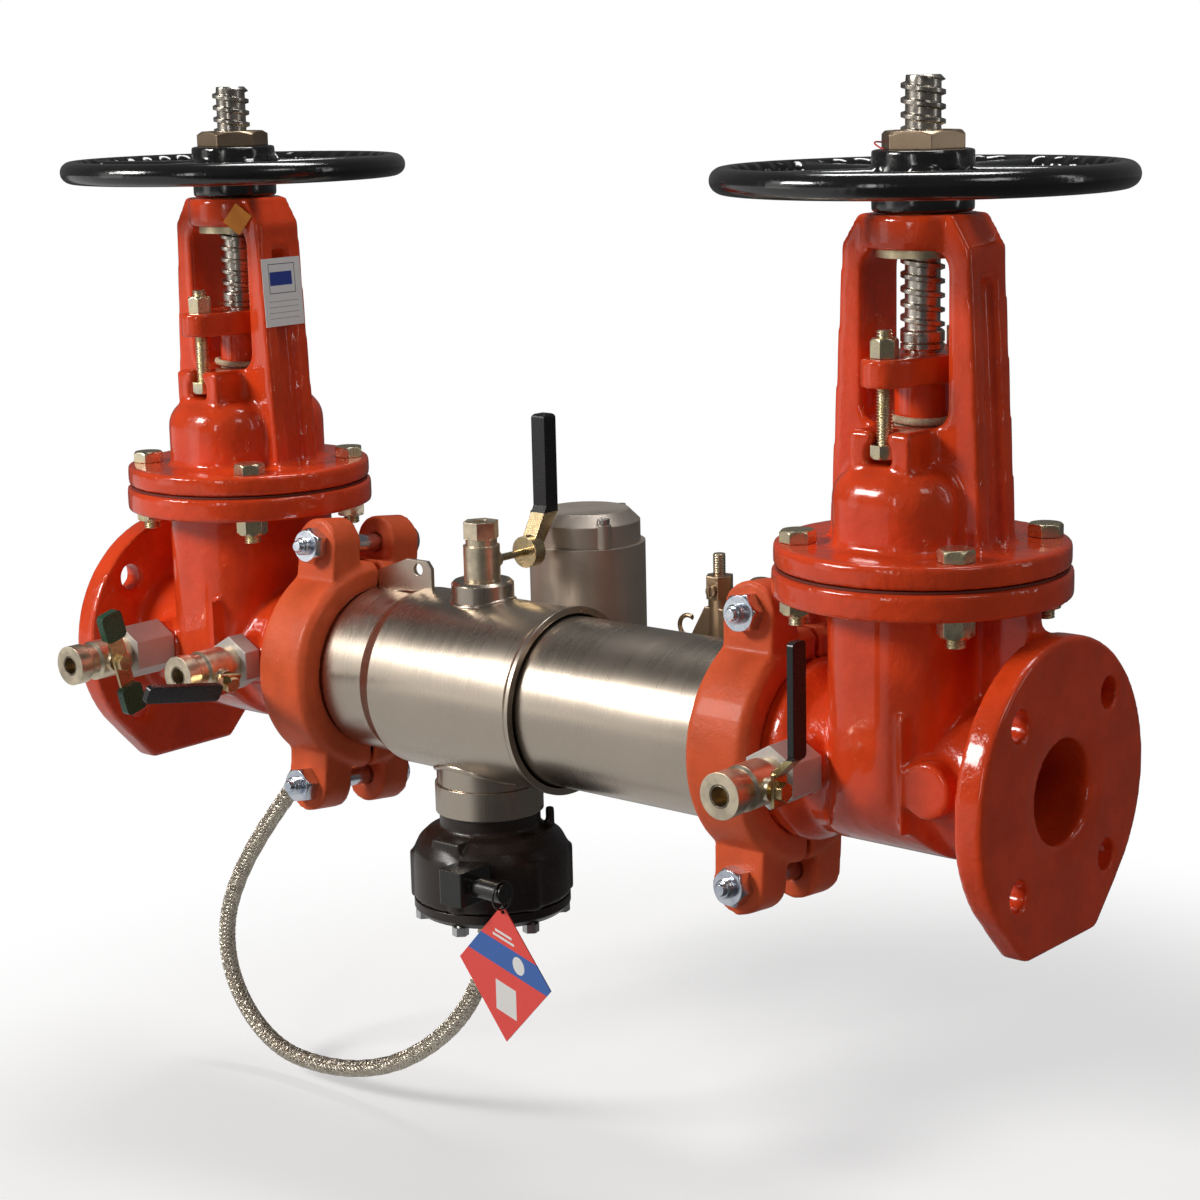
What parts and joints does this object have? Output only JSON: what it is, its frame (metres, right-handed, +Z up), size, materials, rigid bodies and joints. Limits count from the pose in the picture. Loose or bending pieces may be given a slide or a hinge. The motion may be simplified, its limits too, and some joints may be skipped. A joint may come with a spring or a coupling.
{
  "type": "backflow preventer",
  "caption": "Reduced pressure backflow preventer: stainless check body between rising-stem gate valves, with relief valve, sensing hose, test cocks and metered bypass.",
  "frame": {"origin": "centre of the inlet flange's face, on the pipe axis", "axes": "+X along the flow to the outlet flange, +Y towards the bypass line, +Z up along the valve stems"},
  "size_m": [0.829, 0.3305, 0.7331],
  "materials": {
    "valve_paint": "gloss epoxy over cast iron",
    "coupling_paint": "satin paint over cast iron",
    "stem_steel": "machined",
    "wedge_rubber": "rubber over iron",
    "pale_brass": "machined",
    "black_paint": "gloss black paint",
    "bronze": "cast, machined flats",
    "rubber": "moulded",
    "packing_cord": "braided",
    "yellow_zinc": "yellow zinc plate",
    "silver_zinc": "bright zinc plate",
    "stainless": "brushed",
    "inner_steel": "machined",
    "relief_black": "satin black-brown epoxy",
    "screw_steel": "plain",
    "black_plastic": "moulded",
    "hose_braid": "braided stainless over rubber",
    "fitting_brass": "machined",
    "tag_card": "printed card",
    "cock_brass": "cast, machined",
    "green_grip": "dipped green",
    "black_grip": "dipped black",
    "zinc_lever": "zinc plate with black grip",
    "bushing_steel": "plated",
    "canister_grey": "as cast",
    "bypass_copper": "drawn pipe and unions"
  },
  "bodies": {
    "valve_train": {"bonnet_bolts": "yellow_zinc", "bonnet_gaskets": "rubber", "bypass_check": "bronze", "bypass_pipes": "bypass_copper", "canister": "canister_grey", "canister_cap": "canister_grey", "check_1_seat": "inner_steel", "check_2_seat": "inner_steel", "check_pins": "inner_steel", "check_springs": "inner_steel", "cock_1_body": "cock_brass", "cock_2_body": "cock_brass", "cock_3_body": "cock_brass", "cock_4_body": "cock_brass", "cock_bushings": "bushing_steel", "coupling_bolts": "silver_zinc", "coupling_gaskets": "rubber", "cover_screws": "screw_steel", "gland_bolts": "yellow_zinc", "hang_tag": "tag_card", "hose_fittings": "fitting_brass", "inlet_bonnet": "valve_paint", "inlet_coupling_front": "coupling_paint", "inlet_coupling_rear": "coupling_paint", "inlet_gland": "valve_paint", "inlet_valve_body": "valve_paint", "main_housing": "stainless", "outlet_bonnet": "valve_paint", "outlet_coupling_front": "coupling_paint", "outlet_coupling_rear": "coupling_paint", "outlet_gland": "valve_paint", "outlet_tube": "stainless", "outlet_valve_body": "valve_paint", "relief_cover": "relief_black", "relief_diaphragm": "rubber", "relief_housing": "relief_black", "relief_ring": "stainless", "relief_spring": "inner_steel", "sensing_hose": "hose_braid", "sensor_box": "black_plastic", "sleeve_seal": "rubber", "stem_packing": "packing_cord"},
    "inlet_wheel": {"inlet_handwheel": "black_paint", "inlet_wheel_nut": "bronze", "inlet_yoke_sleeve": "pale_brass"},
    "outlet_wheel": {"outlet_handwheel": "black_paint", "outlet_wheel_nut": "bronze", "outlet_yoke_sleeve": "pale_brass"},
    "inlet_gate": {"inlet_stem": "stem_steel", "inlet_wedge": "wedge_rubber"},
    "outlet_gate": {"outlet_stem": "stem_steel", "outlet_wedge": "wedge_rubber"},
    "cock_1_lever": {"cock_1_handle": "green_grip"},
    "cock_2_lever": {"cock_2_handle": "black_grip"},
    "cock_3_lever": {"cock_3_handle": "black_grip"},
    "cock_4_lever": {"cock_4_handle": "zinc_lever"},
    "check_1_flap": {"check_1_clapper": "inner_steel"},
    "check_2_flap": {"check_2_clapper": "inner_steel"},
    "relief_piston": {"relief_plunger": "inner_steel"},
    "bypass_cock": {"bypass_cock_stem": "bronze"}
  },
  "joints": [
    {"name": "inlet_wheel_turn", "type": "hinge", "parent": "valve_train", "child": "inlet_wheel", "pos_m": [0.0984, 0, 0.3482], "axis": [0, 0, 1], "range_deg": [0, 3060]},
    {"name": "outlet_wheel_turn", "type": "hinge", "parent": "valve_train", "child": "outlet_wheel", "pos_m": [0.6826, 0, 0.3482], "axis": [0, 0, 1], "range_deg": [0, 3060]},
    {"name": "inlet_gate_lift", "type": "slide", "parent": "valve_train", "child": "inlet_gate", "axis": [0, 0, 1], "range_m": [0, 0.07]},
    {"name": "outlet_gate_lift", "type": "slide", "parent": "valve_train", "child": "outlet_gate", "axis": [0, 0, 1], "range_m": [0, 0.07]},
    {"name": "cock_1_turn", "type": "hinge", "parent": "valve_train", "child": "cock_1_lever", "pos_m": [0.0574, -0.113, 0.0045], "axis": [1, 0, 0], "range_deg": [-14.6, 75.4]},
    {"name": "cock_2_turn", "type": "hinge", "parent": "valve_train", "child": "cock_2_lever", "pos_m": [0.1469, -0.09, 0.0045], "axis": [0.9397, 0, -0.342], "range_deg": [-79, 11]},
    {"name": "cock_3_turn", "type": "hinge", "parent": "valve_train", "child": "cock_3_lever", "pos_m": [0.3286, 0, 0.086], "axis": [0, 1, 0], "range_deg": [0, 90]},
    {"name": "cock_4_turn", "type": "hinge", "parent": "valve_train", "child": "cock_4_lever", "pos_m": [0.6341, -0.1055, 0.0045], "axis": [1, 0, 0], "range_deg": [0, 90]},
    {"name": "check_1_swing", "type": "hinge", "parent": "valve_train", "child": "check_1_flap", "pos_m": [0.2426, 0, 0.044], "axis": [0, -1, 0], "range_deg": [0, 62], "stiffness_Nm_per_rad": 0.12, "springref_deg": -22.92},
    {"name": "check_2_swing", "type": "hinge", "parent": "valve_train", "child": "check_2_flap", "pos_m": [0.417, 0, 0.044], "axis": [0, -1, 0], "range_deg": [0, 62], "stiffness_Nm_per_rad": 0.12, "springref_deg": -22.92},
    {"name": "relief_lift", "type": "slide", "parent": "valve_train", "child": "relief_piston", "axis": [0, 0, 1], "range_m": [0, 0.0075], "stiffness_N_per_m": 600, "springref_m": -0.012, "deforming": ["relief_spring", "relief_diaphragm"]},
    {"name": "bypass_cock_turn", "type": "hinge", "parent": "valve_train", "child": "bypass_cock", "pos_m": [0.447, 0.11, 0.062], "axis": [0, 1, 0], "range_deg": [0, 90]}
  ],
  "couplings": [
    {"joint": "inlet_gate_lift", "follows": "inlet_wheel_turn", "m_per_rad": 0.0013051},
    {"joint": "outlet_gate_lift", "follows": "outlet_wheel_turn", "m_per_rad": 0.0013051}
  ]
}
